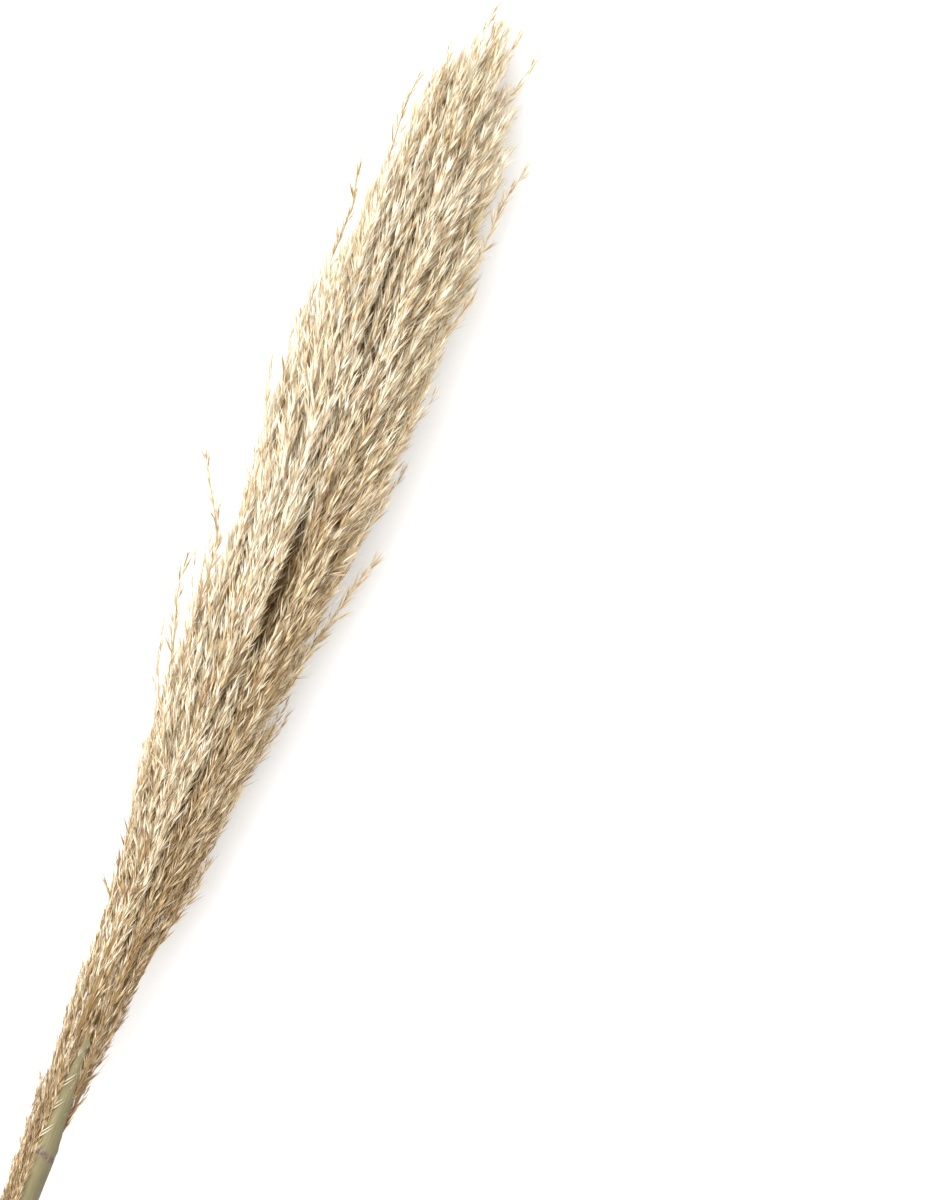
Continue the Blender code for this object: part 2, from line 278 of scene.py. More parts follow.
def lifted(z):
    """Heights with those near or under the floor pressed up just above it."""
    pressed = FLOOR_GIVE * np.exp(np.minimum(z - FLOOR_GIVE, 0) / FLOOR_GIVE)
    return np.where(z > FLOOR_GIVE, z, pressed + 0.0001)


MARGIN = 0.12  # of a strip's width, left on both its sides


def spot(t, band, f):
    """A place on the colour map: how far along, which strip, and how far across it, 0 to 1."""
    v = (band + MARGIN + (1 - 2 * MARGIN) * f) / BANDS
    return np.stack([np.broadcast_to(t, np.shape(v)), v], -1)


# A dart's rows of three corners: how far along, how wide, and how much of its bow each has.
BRACT_ROWS = ((0.34, 1.0, 0.26), (0.70, 0.66, 0.30))
BLADE_ROWS = ((0.36, 1.0, 0.0),)


def dart_pattern(rows):
    """The faces of a dart: its foot is corner 0, then come three to a row, and last its point."""
    last = 3 * rows - 2
    faces = [(0, 2, 1), (0, 3, 2), (0, 1, 3)]
    for first in range(1, last, 3):
        for a, b in ((first, first + 1), (first + 1, first + 2), (first + 2, first)):
            faces += [(a, b, b + 3), (a, b + 3, a + 3)]
    return faces + [(last, last + 1, last + 3), (last + 1, last + 2, last + 3), (last + 2, last, last + 3)]


def add_darts(heap, rows, base, along, keel, length, width, depth, bow, band):
    """Slender pointed bracts, folded along a keel. Arguments after the rows hold one for each."""
    side = np.cross(along, keel)
    n = len(base)
    points = np.empty((n, 3 * len(rows) + 2, 3))
    maps = np.empty((n, 3 * len(rows) + 2, 2))
    for row, (t, wide, lift) in enumerate(rows):
        centre = base + along * (length * t)[:, None] + (bow * length * lift)[:, None] * keel
        first = 1 + 3 * row
        points[:, first] = centre - side * (width * wide)[:, None]
        points[:, first + 1] = centre + keel * (depth * wide)[:, None]
        points[:, first + 2] = centre + side * (width * wide)[:, None]
        for corner, f in enumerate((0.0, 0.5, 1.0)):
            maps[:, first + corner] = spot(t, band, f)
    points[:, 0] = base
    points[:, -1] = base + along * length[:, None]
    for corner, t in ((0, 0.02), (-1, 0.98)):
        maps[:, corner] = spot(t, band, 0.5)
    heap.add(points, dart_pattern(len(rows)), maps)


SPIKE_PATTERN = [(0, 2, 1), (0, 1, 3), (1, 2, 3), (2, 0, 3)]


def add_spikes(heap, base, along, length, thick, band):
    """Fine tapering hairs, each a slender closed spike with three sides."""
    n = len(base)
    first = across(along, np.tile([0.3, 0.5, 0.81], (n, 1)))
    second = np.cross(along, first)
    points = np.empty((n, 4, 3))
    maps = np.empty((n, 4, 2))
    for corner in range(3):
        turn = FULL_TURN * corner / 3
        out = first * math.cos(turn) + second * math.sin(turn)
        points[:, corner] = base + out * thick[:, None]
        maps[:, corner] = spot(0.03, band, corner / 2)
    points[:, 3] = base + along * length[:, None]
    maps[:, 3] = spot(0.97, band, 0.5)
    heap.add(points, SPIKE_PATTERN, maps)


def add_stalk(heap, path, radius, band, sides=3):
    """A thin closed tube along a path of points, with its radius at each."""
    steps = len(path)
    tangent = unit(np.gradient(path, axis=0))
    first = across(tangent, np.tile(UPWARD, (steps, 1)))
    second = np.cross(tangent, first)
    turn = np.arange(sides) * FULL_TURN / sides
    rings = path[:, None] + np.asarray(radius)[:, None, None] * (
        first[:, None] * np.cos(turn)[None, :, None] + second[:, None] * np.sin(turn)[None, :, None]
    )
    points = rings.reshape(1, -1, 3)
    round_it = np.ones((steps, 1)) * np.abs(np.arange(sides) / (sides - 1) * 2 - 1)
    maps = spot(np.linspace(0.03, 0.97, steps)[:, None], band, round_it).reshape(1, -1, 2)
    pattern = []
    last = (steps - 1) * sides
    for ring in range(0, last, sides):
        for j in range(sides):
            a, b = ring + j, ring + (j + 1) % sides
            pattern += [(a, b, b + sides), (a, b + sides, a + sides)]
    for j in range(1, sides - 1):
        pattern += [(0, j + 1, j), (last, last + j, last + j + 1)]
    heap.add(points, pattern, maps)


def turned(along, side, angle):
    """The direction along, leaning by an angle towards a side."""
    return unit(along * np.cos(angle)[:, None] + side * np.sin(angle)[:, None])


LENGTHS_A_WIDTH = 10.0  # a spikelet's length over a bract's half width, before its random share
GLUME_LEAN, FLORET_LEAN, HAIR_LEAN = (0.03, 0.24), (0.06, 0.42), (0.10, 0.50)  # radians
GOLDEN_SHARE = 0.22  # of the bracts are a darker gold than the others
GOLDEN_STEP = 6.0


def tinted(tint, spread):
    """The colour strips of bracts, scattered about their tint."""
    golden = GOLDEN_STEP * (rng.random(len(tint)) < GOLDEN_SHARE)
    return np.clip(np.round(tint - golden + rng.normal(0, spread, len(tint))), 0, BRACT_TINTS - 1)


def splayed(along, first, second, low, high):
    """Directions leaning from along by angles from low to high, turned every way round it."""
    n = len(along)
    turn = rng.uniform(0, FULL_TURN, n)
    aside = first * np.cos(turn)[:, None] + second * np.sin(turn)[:, None]
    return turned(along, aside, rng.uniform(low, high, n)), aside


def add_spikelets(heap, base, along, out, size, tint, florets, fluff):
    """Spikelets: a broad glume, slender florets fanned out in it, and silky hairs."""
    n = len(base)
    if n == 0:
        return
    second = np.cross(along, out)
    d, aside = splayed(along, out, second, *GLUME_LEAN)
    width = rng.uniform(0.36, 0.62, n) * size / LENGTHS_A_WIDTH
    add_darts(heap, BRACT_ROWS, base, d, across(d, aside), size * rng.uniform(0.75, 1.0, n), width,
              width * rng.uniform(0.4, 0.7, n), rng.uniform(-0.04, 0.10, n), tinted(tint, 2.8))
    each = np.repeat(np.arange(n), florets)
    m = len(each)
    d, aside = splayed(along[each], out[each], second[each], *FLORET_LEAN)
    start = base[each] + along[each] * (size[each] * rng.uniform(0.0, 0.34, m))[:, None]
    width = rng.uniform(0.24, 0.44, m) * size[each] / LENGTHS_A_WIDTH
    add_darts(heap, BLADE_ROWS, start, d, across(d, aside), size[each] * rng.uniform(0.70, 1.05, m),
              width, width * 0.6, 0.0, tinted(tint[each] + 1.0, 3.0))
    each = np.repeat(np.arange(n), fluff)
    m = len(each)
    if m:
        d, _ = splayed(along[each], out[each], second[each], *HAIR_LEAN)
        start = base[each] + along[each] * (size[each] * rng.uniform(0.1, 0.45, m))[:, None]
        thick = rng.uniform(0.05, 0.09, m) * MM
        add_spikes(heap, start, d, size[each] * rng.uniform(0.55, 0.95, m), thick,
                   np.full(m, HAIR_BAND))


def bezier(a, b, c, d, t):
    t = t[:, None]
    return a * (1 - t) ** 3 + 3 * b * t * (1 - t) ** 2 + 3 * c * t * t * (1 - t) + d * t**3


GOLDEN_ANGLE = math.pi * (3 - math.sqrt(5))
STALK_RINGS = 6


def add_strand(heap, path, spacing, size, lean, tint, florets=3, fluff=1, bare=0.2, stalk=0.28 * MM):
    """A branchlet: a thin stalk along the path, with spikelets all round it towards its tip."""
    run = np.concatenate([[0], np.cumsum(np.linalg.norm(np.diff(path, axis=0), axis=1))])
    length = run[-1]

    def at_places(values):
        return np.stack([np.interp(places, run, values[:, axis]) for axis in range(3)], -1)

    places = np.arange(length * bare, length, spacing)
    places += rng.uniform(-0.3, 0.3, len(places)) * spacing
    places = np.clip(np.append(places, length), 0, length)
    n = len(places)
    base = at_places(path)
    along = unit(at_places(unit(np.gradient(path, axis=0))))
    first = across(along, np.tile(UPWARD, (n, 1)))
    second = np.cross(along, first)
    turn = np.arange(n) * GOLDEN_ANGLE + rng.uniform(0, 6.28) + rng.normal(0, 0.4, n)
    out = first * np.cos(turn)[:, None] + second * np.sin(turn)[:, None]
    share = places / length
    leaning = lean * (1.05 - 0.75 * share) * rng.uniform(0.6, 1.3, n)
    sizes = size * (1.05 - 0.22 * share) * rng.uniform(0.85, 1.15, n)
    d = turned(along, out, leaning)
    base = base + out * (stalk * 0.8)
    add_spikelets(heap, base, d, out, sizes, tint + rng.normal(0, 1.0, n), florets, fluff)
    few = np.linspace(0, len(path) - 1, STALK_RINGS).round().astype(int)
    add_stalk(heap, path[few], stalk * np.linspace(1.0, 0.35, STALK_RINGS), STALK_BAND)


# ---------------- materials

SHEEN_ROUGHNESS, SPECULAR = 0.5, 0.3


class Nodes:
    """A short way to build one material's nodes."""

    def __init__(self, name):
        self.material = bpy.data.materials.new(name)
        self.material.use_nodes = True
        self.tree = self.material.node_tree
        self.shader = self.tree.nodes["Principled BSDF"]

    def put(self, node, values):
        """Gives a node's inputs their values, by a link where the value is another node's socket."""
        for key, value in values.items():
            socket = node.inputs[key]
            if isinstance(value, bpy.types.NodeSocket):
                self.tree.links.new(value, socket)
            else:
                socket.default_value = (*value, 1.0) if socket.type == "RGBA" else value

    def add(self, kind, values, **settings):
        node = self.tree.nodes.new(kind)
        for key, value in settings.items():
            setattr(node, key, value)
        self.put(node, values)
        return node

    def where(self):
        return self.add("ShaderNodeTexCoord", {}).outputs["Object"]

    def uv(self):
        return self.add("ShaderNodeUVMap", {}, uv_map=UV_MAP).outputs["UV"]

    def axes(self, vector):
        return self.add("ShaderNodeSeparateXYZ", {"Vector": vector}).outputs

    def math(self, operation, a, b=0.0, c=0.0):
        return self.add("ShaderNodeMath", {0: a, 1: b, 2: c}, operation=operation).outputs[0]

    def ramp(self, factor, stops, interpolation="LINEAR"):
        node = self.add("ShaderNodeValToRGB", {"Fac": factor})
        ramp = node.color_ramp
        ramp.interpolation = interpolation
        while len(ramp.elements) < len(stops):
            ramp.elements.new(0.5)
        for element, (position, colour) in zip(ramp.elements, stops):
            element.position = position
            element.color = (*colour, 1.0)
        return node.outputs["Color"]

    def mask(self, factor, *stops):
        """A ramp of greys, from pairs of position and value."""
        return self.ramp(factor, [(position, (value,) * 3) for position, value in stops])

    def shades(self, factor, *stops):
        """A ramp of colours, from positions each followed by red, green and blue out of 255."""
        return self.ramp(factor, [(position, srgb(*rgb)) for position, *rgb in stops])

    def mix(self, factor, a, b, blend="MIX"):
        values = {0: factor, 6: a, 7: b}
        return self.add("ShaderNodeMix", values, data_type="RGBA", blend_type=blend).outputs[2]

    def noise(self, vector, scale, detail=3.0, roughness=0.5):
        """Noise with its own scale along each axis."""
        vector = self.add("ShaderNodeMapping", {"Vector": vector, "Scale": scale}).outputs["Vector"]
        values = {"Vector": vector, "Scale": 1.0, "Detail": detail, "Roughness": roughness}
        return self.add("ShaderNodeTexNoise", values).outputs["Fac"]

    def finish(self, colour, roughness, height, bump, distance=0.0002, sheen=0.0):
        values = {"Height": height, "Strength": bump, "Distance": distance}
        normal = self.add("ShaderNodeBump", values).outputs["Normal"]
        self.put(self.shader, {"Base Color": colour, "Roughness": roughness, "Normal": normal,
                               "Sheen Weight": sheen, "Sheen Roughness": SHEEN_ROUGHNESS,
                               "Specular IOR Level": SPECULAR})
        return self.material


def srgb(r, g, b):
    """Scene colour from the usual 0 to 255 values."""
    return tuple((c / 255 / 12.92) if c <= 10 else ((c / 255 + 0.055) / 1.055) ** 2.4
                 for c in (r, g, b))


PALE, CREAM, STRAW, GOLD, TAN, BROWN = (
    srgb(248, 247, 240), srgb(244, 240, 228), srgb(235, 228, 207),
    srgb(220, 204, 171), srgb(186, 160, 120), srgb(126, 97, 66),
)
DARKEST = 0.3  # the darkest tint's place between brown and tan


def plume_material():
    """Dry bracts: a tint for each strip of the colour map, golden veins, pale margins, and painted shade
    at their roots.
    """
    m = Nodes("Plume")
    uv = m.uv()
    axes = m.axes(uv)
    along, strips = axes["X"], m.math("MULTIPLY", axes["Y"], BANDS)
    strip, f = m.math("FLOOR", strips), m.math("FRACT", strips)
    stops = []
    shades = [BROWN, TAN, GOLD, STRAW, CREAM, PALE]
    for band in range(BRACT_TINTS):
        t = DARKEST + band / (BRACT_TINTS - 1) * (len(shades) - 1 - DARKEST)
        low = min(int(t), len(shades) - 2)
        mixed = [a + (b - a) * (t - low) for a, b in zip(shades[low], shades[low + 1])]
        warm = 1 + 0.05 * math.sin(band * 2.4)
        stops.append((band / BANDS, (mixed[0] * warm, mixed[1], mixed[2] / warm)))
    stops += [(HAIR_BAND / BANDS, srgb(246, 238, 224)), (STALK_BAND / BANDS, srgb(214, 192, 150)),
              (DARK_STALK_BAND / BANDS, srgb(150, 124, 84))]
    tint = m.ramp(m.math("DIVIDE", m.math("ADD", strip, 0.5), BANDS), stops, "CONSTANT")
    centred = m.math("ABSOLUTE", m.math("SUBTRACT", f, 0.5))
    vein = m.ramp(centred, [(0.0, (0.82, 0.72, 0.55)), (0.08, (0.95, 0.91, 0.85)),
                            (0.18, (1.0, 1.0, 1.0)), (0.30, (1.02, 1.02, 1.01)),
                            (0.37, (0.93, 0.89, 0.79))])
    # Painted shade: each bract darkens to golden brown towards its root, where the bracts shade each
    # other.
    length = m.ramp(along, [(0.0, (0.48, 0.36, 0.23)), (0.16, (0.77, 0.67, 0.52)),
                            (0.36, (1.0, 0.98, 0.96)), (0.70, (1.03, 1.03, 1.02)),
                            (0.97, (0.96, 0.92, 0.85))])
    fibres = m.noise(uv, (5.0, 260.0, 1.0), 4.0)
    colour = m.mix(1.0, m.mix(1.0, tint, vein, "MULTIPLY"), length, "MULTIPLY")
    streak = m.ramp(fibres, [(0.30, (0.86, 0.81, 0.70)), (0.62, (1.03, 1.03, 1.03))])
    colour = m.mix(0.8, colour, m.mix(1.0, colour, streak, "MULTIPLY"))
    rough = m.math("MULTIPLY_ADD", fibres, 0.25, 0.55)
    return m.finish(colour, rough, fibres, 0.25, 0.0001, sheen=0.1)


plume_look = plume_material()

# ---------------- the plume

ROOT_LIFT = 0.0036  # from the reed's axis out to a branch's root
ROOT_BACK = 0.012  # from a branch's first section back to its root
FIRST_ROOT = 0.003
SHORT_OF_TIP = 0.010  # a branch's stalk ends this far inside its solid
GATHERED = ((0.0, 0.60), (0.012, 0.62), (0.036, 0.86), (0.07, 1.0))  # roots hug the main stalk


def branch_line(name):
    """A branch's own stalk, from its root on the main stem to its tip, by u."""
    line = ring_means(name)
    u = line[:, 0] - COLLAR
    if name not in FREE_ENDS:
        line, u = line[u < u[-1] - SHORT_OF_TIP], u[u < u[-1] - SHORT_OF_TIP]
    keep = (u > u[0]) | (u > 0.004)
    line, u = line[keep], u[keep]
    first = line[0, 1:] - (axis_y(u[0]), axis_z(u[0]))
    root_u = max(FIRST_ROOT, u[0] - ROOT_BACK)
    root = np.array([axis_y(root_u), axis_z(root_u)]) + first / np.linalg.norm(first) * ROOT_LIFT
    if root_u >= u[0]:
        line, u = line[1:], u[1:]
    axis = place(u, 0.0, 0.0)
    line = axis + (line - axis) * read(GATHERED, u)[:, None]
    line = np.vstack([[COLLAR + root_u, *root], line])
    return line[:, 0] - COLLAR, line


LINES = [branch_line(name) for name in BRANCHES]


def on_line(number, u):
    places, line = LINES[number]
    u = np.clip(u, places[0], places[-1])
    return np.array([COLLAR + u, np.interp(u, places, line[:, 1]), np.interp(u, places, line[:, 2])])


# How pale the plume is along its length, browner towards its foot as painted shade, with painted shade on
# its right side and painted light on its left.
PALENESS = ((-0.06, 3.0), (0.02, 2.2), (0.07, 3.6), (0.12, 7.8), (0.17, 10.0), (0.27, 13.0), (0.49, 13.8))
RIGHT_PAINTED_SHADE = ((0.0, 2.5), (0.14, 5.0), (0.20, 3.5), (0.28, 5.0), (0.33, 2.0), (0.40, 0.0))
LEFT_PAINTED_LIGHT = ((0.0, 2.8), (0.08, 4.0), (0.20, 1.5), (0.27, 3.5), (0.34, 1.0), (0.49, 0.5))


def tint_at(u, angle):
    """How pale the plume is at a place: painted shade makes it brown at its foot and darker on its right,
    painted light makes its left paler, with patches of gold and cream.
    """
    patches = 2.0 * math.sin(u * 61 + 2.1 * math.sin(angle * 2)) * math.cos(angle * 3 + u * 23)
    side = 2.0 * math.cos(angle)
    # Painted shade on the right side, away from the light, and painted light on the left side.
    darker = read(RIGHT_PAINTED_SHADE, u) * np.clip(-side, 0, 1)
    return read(PALENESS, u) + patches - darker + read(LEFT_PAINTED_LIGHT, u) * np.clip(side, 0, 1)


# Dark valleys between tufts: middle u, half length, middle angle, half angle.
VALLEYS = ((0.253, 0.034, 1.80, 0.15), (0.364, 0.012, 1.44, 0.08), (0.340, 0.008, 1.66, 0.07))
VALLEY_LENGTHS_COVERED = (0.0, 0.010, 0.020)  # a branchlet covers this much below its tip


def in_valley(u, angle):
    return any(((u - back - middle) / half) ** 2 + ((angle - centre) / width) ** 2 < 1
               for middle, half, centre, width in VALLEYS for back in VALLEY_LENGTHS_COVERED)


BLADE_ANGLE = math.radians(82)
BLADE_END = 0.050
# The blade's bare half angle in degrees, by u.
BLADE_OPENING = ((-0.020, 56), (0.0, 38), (0.016, 30), (0.032, 25), (0.044, 14), (BLADE_END, 2))


def over_blade(u, angle):
    """Whether a place is on the leaf blade that shows at the plume's foot."""
    return u < BLADE_END and abs(angle - BLADE_ANGLE) < math.radians(read(BLADE_OPENING, u))


def cane_edge(u):
    """Radius just outside the cane or its leaf."""
    return read(((-0.30, 0.0060), (-0.03, 0.0060), (0.0, 0.0058), (0.02, 0.0052)), u)


SHORTEST_REACH = 0.018  # a branchlet with less stalk than this to grow from starts at the reed
LEAF_OPENS = 0.002
UNDER_BLADE = 0.0038  # the radius where such a branchlet starts, past the leaf's mouth
STRAND_POINTS = 9


def strand_path(number, u_tip, angle, radius_tip, length):
    """A branchlet's path, from its branch's stalk out to its tip."""
    root_u = u_tip - length
    first_u = LINES[number][0][0]
    if first_u > u_tip - SHORTEST_REACH:
        root = place(root_u, angle, cane_edge(root_u) if root_u < LEAF_OPENS else UNDER_BLADE)
    else:
        root = on_line(number, max(root_u, first_u))
    tip = place(u_tip, angle, radius_tip)
    reach = tip[0] - root[0]
    before = place(u_tip - 0.30 * reach, angle + rng.normal(0, 0.04), radius_tip * 0.93)
    leave = 0.25 if first_u <= u_tip - SHORTEST_REACH else 0.06
    near = root + np.array([0.38 * reach, 0, 0]) + leave * (tip - root) * np.array([0, 1, 1])
    return bezier(root, near, before, tip, np.linspace(0, 1, STRAND_POINTS))


# A tip's depth, as a share of the outline's radius, and how often it is so deep.
TIP_DEPTHS = ((0.82, 0.20), (0.92, 0.30), (1.0, 0.28), (1.08, 0.16), (1.18, 0.06))
# How far apart the rows of tips are, by u, and tips in a row.
ROWS_APART = ((0.0, 0.0056), (0.06, 0.0066), (0.12, 0.0084), (0.2, 0.0094))
AROUND_APART = 0.0050
FIRST_ROW = 0.006
UNDERSIDE = 1.2  # the underside's branchlets are set this much wider apart
RIGHT_STARTS = 0.027  # the cane's right side is bare up to here
RIGHT_SIDE = (1.7, 4.7)  # radians


def grow_tufts(heaps):
    """Branchlets all over the plume's surface, each on the branch that is seen there."""
    depths, chances = zip(*TIP_DEPTHS)
    u, row = FIRST_ROW, 0
    while u < PLUME - 0.004:
        step = read(ROWS_APART, u)
        girth = float(np.mean(outline_radius(u, np.linspace(0, 6.28, 24)))) * FULL_TURN
        number = max(6, int(girth / AROUND_APART))
        for i in range(number):
            angle = FULL_TURN * (i + 0.5 * (row % 2) + rng.uniform(-0.4, 0.4)) / number % FULL_TURN
            tip_u = u + rng.uniform(-0.5, 0.5) * step
            depth = rng.choice(depths, p=chances)
            below = math.sin(angle) < -0.45 and rng.random() > 1 / UNDERSIDE
            bare_side = tip_u < RIGHT_STARTS and RIGHT_SIDE[0] < angle < RIGHT_SIDE[1]
            if below or bare_side or in_valley(tip_u, angle) or over_blade(tip_u, angle):
                continue
            grow_tuft(heaps, tip_u, angle, depth)
        u += step
        row += 1


STAND_OFF = 0.0070  # from a free end's ear in to the branchlets beside it
EAR_FROM, EAR_GROWS, EAR_PAST = 0.046, 0.020, 0.008  # lengths before, within and past an ear
BESIDE = 0.62  # radians from an ear: branchlets nearer than this are drawn in


def free_of_ears(u, angle, radius):
    """The radius, drawn in where a free end stands off the plume's side."""
    for number in FREE:
        end = LINES[number][0][-1]
        share = np.clip((u - end + EAR_FROM) / EAR_GROWS, 0, 1) * (u < end + EAR_PAST)
        if share > 0:
            y, z = on_line(number, u)[1:] - (axis_y(u), axis_z(u))
            off = abs((angle - math.atan2(z, y) + math.pi) % FULL_TURN - math.pi)
            if off < BESIDE:
                radius = min(radius, math.hypot(y, z) - STAND_OFF * share)
    return radius


# By u: how far inside the outline tips stop, the least radius on the left, the share of a
# branchlet's full length and lean, its spikelets' size, and its bare share.
INSET = ((0.0, 0.0036), (0.05, 0.0044), (0.12, 0.0034), (0.20, 0.0022), (0.30, 0.0014))
LEFT_FILL = ((0.0, 0.0072), (0.03, 0.0092), (0.055, 0.0098), (0.075, 0.0))
LEFT_INSET = ((0.06, 1.0), (0.1, 0.0))
TUFT_LENGTH = ((0.0, 0.5), (0.05, 0.6), (0.15, 1.0))
TUFT_LEAN = ((0.0, 0.7), (0.15, 1.0))
TUFT_SIZE = ((0.0, 0.0062), (0.08, 0.0078), (0.16, 0.0102), (0.3, 0.0118))
TUFT_BARE = ((0.03, 0.12), (0.1, 0.38))
TUFT_SPACING = 0.0033
SILKY_SHARE = 0.28
SILKY, PLAIN = (2, 7), (3, 1)  # florets and hairs of a spikelet
DEPTH_PAINTED_SHADE = 24  # painted shade: tints taken off for each whole radius that a tip is inside the outline


def grow_tuft(heaps, tip_u, angle, depth):
    """One branchlet on the plume. Depth 1 puts its tip on the outline."""
    left = max(0.0, math.cos(angle))
    inset = read(INSET, tip_u) * (1 - 0.6 * left * read(LEFT_INSET, tip_u))
    radius = float(outline_radius(tip_u, angle)) * depth - inset
    radius = free_of_ears(tip_u, angle, max(radius, left * read(LEFT_FILL, tip_u)))
    owner = outline_branch(tip_u, angle)
    length = rng.uniform(0.040, 0.066) * read(TUFT_LENGTH, tip_u)
    path = strand_path(owner, tip_u - 0.004, angle, max(radius, 0.0016), length)
    size = read(TUFT_SIZE, tip_u) * rng.uniform(0.85, 1.15)
    # Branchlets whose tips lie deep inside the plume get painted shade.
    tint = tint_at(tip_u, angle) - max(0.0, 1.0 - depth) * DEPTH_PAINTED_SHADE
    silky = rng.random() < SILKY_SHARE
    lean = rng.uniform(0.20, 0.46) * read(TUFT_LEAN, tip_u)
    add_strand(heaps[owner], path, TUFT_SPACING, size, lean, tint + 1.5 * silky,
               *(SILKY if silky else PLAIN), bare=read(TUFT_BARE, tip_u))


LAST_OWNED = 0.455  # ears past this grow from the branch seen here
# Ears that end the plume: how far along, how far to the left, and how high above its axis.
LAST_EARS = (
    (0.496, 0.0048, 0.001), (0.490, -0.0083, 0.001), (0.481, -0.0180, 0.002),
    (0.480, 0.0073, -0.002), (0.470, 0.0140, 0.003), (0.476, -0.0030, 0.004),
    (0.464, -0.0120, 0.004), (0.466, 0.0090, -0.004), (0.472, -0.0060, -0.003),
    (0.462, 0.0030, 0.007), (0.455, -0.0170, -0.003), (0.458, 0.0170, 0.000),
)


def grow_last_ears(heaps):
    for tip_u, left, up in LAST_EARS:
        angle = math.atan2(up, left) % FULL_TURN
        owner = outline_branch(min(tip_u, LAST_OWNED), angle)
        path = strand_path(owner, tip_u - 0.007, angle, math.hypot(left, up), rng.uniform(0.055, 0.075))
        add_strand(heaps[owner], path, 0.0032, 0.0100, 0.30, 11.5, 3, 1, bare=0.30)


CORE_STARTS = 0.100  # there is no core before this, where it would show
# Dark tints of the inner spikelets by u: painted shade.
CORE_PAINTED_SHADE = ((0.20, 2.5), (0.30, 5.5), (0.40, 8.5))
CORE_RINGS = 20
RACHIS_SHARES = 12
RACHIS_SIZE = ((0.05, 0.0060), (0.15, 0.0120))


def grow_core(heaps):
    """Spikelets all along the branches' own stalks, which close the plume inside, tinted dark as painted
    shade.
    """
    for number, name in enumerate(BRANCHES):
        places, _ = LINES[number]
        count = max(4, int((places[-1] - places[0]) / 0.0015))
        path = np.stack([on_line(number, u) for u in np.linspace(places[0], places[-1], count)])
        last = FREE_LENGTH if name in FREE_ENDS else 0.0
        inner = path[path[:, 0] < COLLAR + places[-1] - last]
        picked = inner[np.unique((np.linspace(0, 1, CORE_RINGS) ** 1.6 * (len(inner) - 1)).astype(int))]
        add_stalk(heaps[number], picked, np.linspace(0.6, 0.25, len(picked)) * MM, DARK_STALK_BAND, 4)
        deep = inner[inner[:, 0] > COLLAR + CORE_STARTS]
        if len(deep) > 4:
            tint = read(CORE_PAINTED_SHADE, deep[len(deep) // 2, 0] - COLLAR)
            add_strand(heaps[number], deep, 0.0044, 0.0110, 0.5, tint, 3, 0, bare=0.0)


def grow_rachis_spikelets(heaps):
    """Spikelets on the main stalk, tinted dark as painted shade, shared out among the branches above it.
    """
    ends = np.linspace(0.056, spine[-2, 0] - COLLAR, RACHIS_SHARES + 1)
    for start, end in zip(ends, ends[1:]):
        path = place(np.linspace(start, end, 12), 0.0, 0.0)
        owner = outline_branch(end, math.pi / 2)
        for _ in range(2):
            add_strand(heaps[owner], path, 0.0030, read(RACHIS_SIZE, start), 0.75,
                       read(CORE_PAINTED_SHADE, start) - 0.5, 3, 0, bare=0.0)


# The free ends' ears: spacing, size, lean and florets of their spikelets.
THIN_EAR = (0.0023, 0.0088, 0.50, 3)
FULL_EAR = (0.0022, 0.0104, 0.42, 3)
FULLEST_EAR = "right_branch_3"
EAR_TINT = 9.0


def grow_free_ends(heaps):
    for number in FREE:
        end = LINES[number][0][-1]
        path = np.stack([on_line(number, u) for u in np.linspace(end - FREE_LENGTH, end, 24)])
        spacing, size, lean, florets = FULL_EAR if BRANCHES[number] == FULLEST_EAR else THIN_EAR
        add_strand(heaps[number], path, spacing, size, lean, EAR_TINT, florets, 1, bare=0.0)
        add_stalk(heaps[number], path[::3], np.linspace(0.40, 0.26, 8) * MM, STALK_BAND)


WISPS = 60
SHOULDER_WISPS = 8  # more of them on the left, where the plume widens
SHOULDER = (0.200, 0.262)
# By u: the share of a wisp's full reach, and how far inside the outline that starts.
WISP_REACH = ((0.1, 0.3), (0.2, 1.0))
WISP_INSET = ((0.0, 0.003), (0.15, 0.002), (0.2, 0.0))


def grow_wisps(heaps):
    """Thin ears that stand out of the plume's sides, with their spikelets well apart."""
    for number in range(WISPS + SHOULDER_WISPS):
        tip_u = rng.uniform(0.06, 0.47)
        angle = rng.choice([0.0, math.pi]) + rng.normal(0, 0.5)
        reach = rng.uniform(0.0005, 0.0040) * read(WISP_REACH, tip_u)
        if number >= WISPS:
            tip_u, angle = rng.uniform(*SHOULDER), rng.normal(0.1, 0.25)
            reach = rng.uniform(0.004, 0.011)
        angle %= FULL_TURN
        radius = float(outline_radius(tip_u - 0.012, angle)) + reach - read(WISP_INSET, tip_u)
        if number < WISPS:
            radius = free_of_ears(tip_u, angle, radius)
        owner = outline_branch(tip_u - 0.02, angle)
        path = strand_path(owner, tip_u, angle, radius, rng.uniform(0.045, 0.070))
        spacing = 0.0034 if number < WISPS else 0.0046
        add_strand(heaps[owner], path, spacing, rng.uniform(0.0060, 0.0082), 0.40,
                   tint_at(tip_u, angle) - 2.5, 2, 1, bare=0.40, stalk=0.34 * MM)


FIBRES = 26


def grow_fibres(heaps):
    """Loose pale fibres that lie across the plume."""
    for _ in range(FIBRES):
        u, angle = rng.uniform(0.02, 0.46), rng.uniform(0.2, math.pi - 0.2)
        turn, run = rng.uniform(-0.5, 0.5), rng.uniform(0.008, 0.024)
        t = np.linspace(0, 1, 8)
        angles, places = angle + turn * t, u + run * t + 0.004 * np.sin(math.pi * t)
        radii = outline_radius(places, angles) + 0.0012 + 0.002 * np.sin(math.pi * t)
        owner = outline_branch(u, angle)
        add_stalk(heaps[owner], place(places, angles, radii), np.linspace(0.13, 0.06, 8) * MM, HAIR_BAND)


